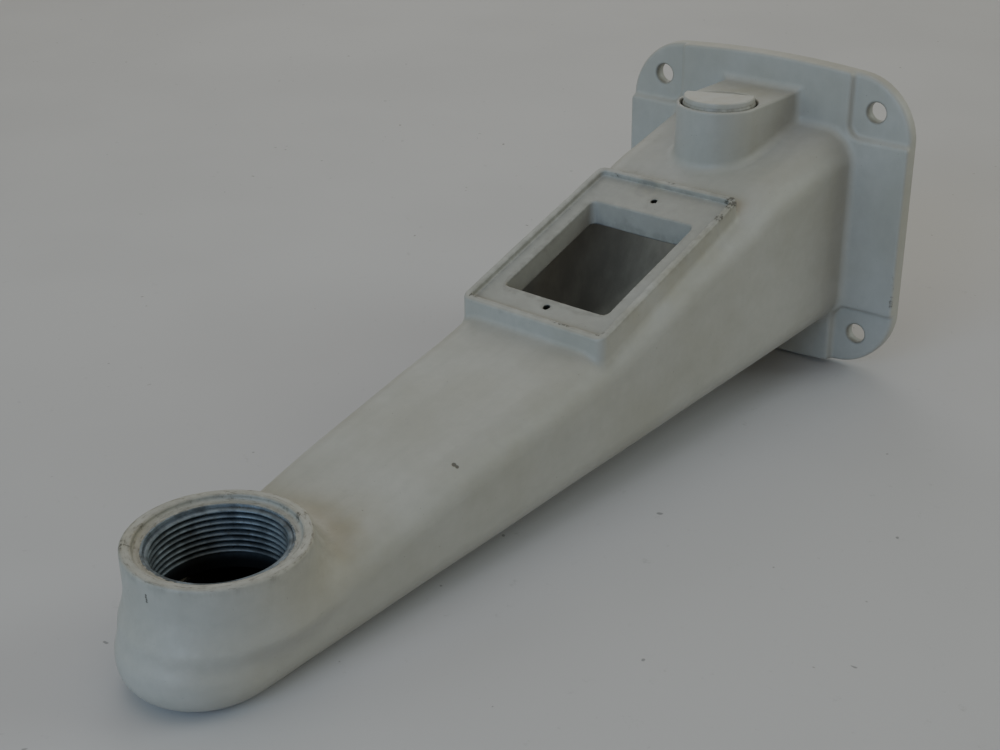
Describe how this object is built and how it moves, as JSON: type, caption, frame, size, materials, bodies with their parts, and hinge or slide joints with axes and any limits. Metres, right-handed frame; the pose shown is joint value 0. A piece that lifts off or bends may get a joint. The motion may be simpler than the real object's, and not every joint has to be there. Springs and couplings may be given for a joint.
{
  "type": "wall mount arm",
  "caption": "Hollow cast wall-mount arm: flange at the wall, sloping access window, plugged conduit boss and a pipe-threaded end ring.",
  "frame": {"origin": "centre of the four wall holes, on the flange's wall face", "axes": "+Y into the wall, so the arm reaches towards -Y; +Z the way the end ring, the window and the plug face; +X to the right"},
  "size_m": [0.142, 0.3661, 0.1405],
  "materials": {
    "cast_body": "satin off-white paint on cast aluminium, worn at the rims",
    "plug": "satin off-white paint on die-cast metal",
    "seal": "matt black rubber"
  },
  "bodies": {
    "arm": {"arm_casting": "cast_body"},
    "seal": {"plug_seal": "seal"},
    "plug": {"conduit_plug": "plug"}
  },
  "joints": [
    {"name": "plug_lift", "type": "slide", "parent": "arm", "child": "seal", "axis": [0, 0, 1], "range_m": [0, 0.01451]},
    {"name": "plug_turn", "type": "hinge", "parent": "seal", "child": "plug", "pos_m": [0, -0.0435, 0.055], "axis": [0, 0, 1], "range_deg": [0, 2880]}
  ],
  "couplings": [
    {"joint": "plug_lift", "follows": "plug_turn", "m_per_rad": 0.00028871}
  ]
}
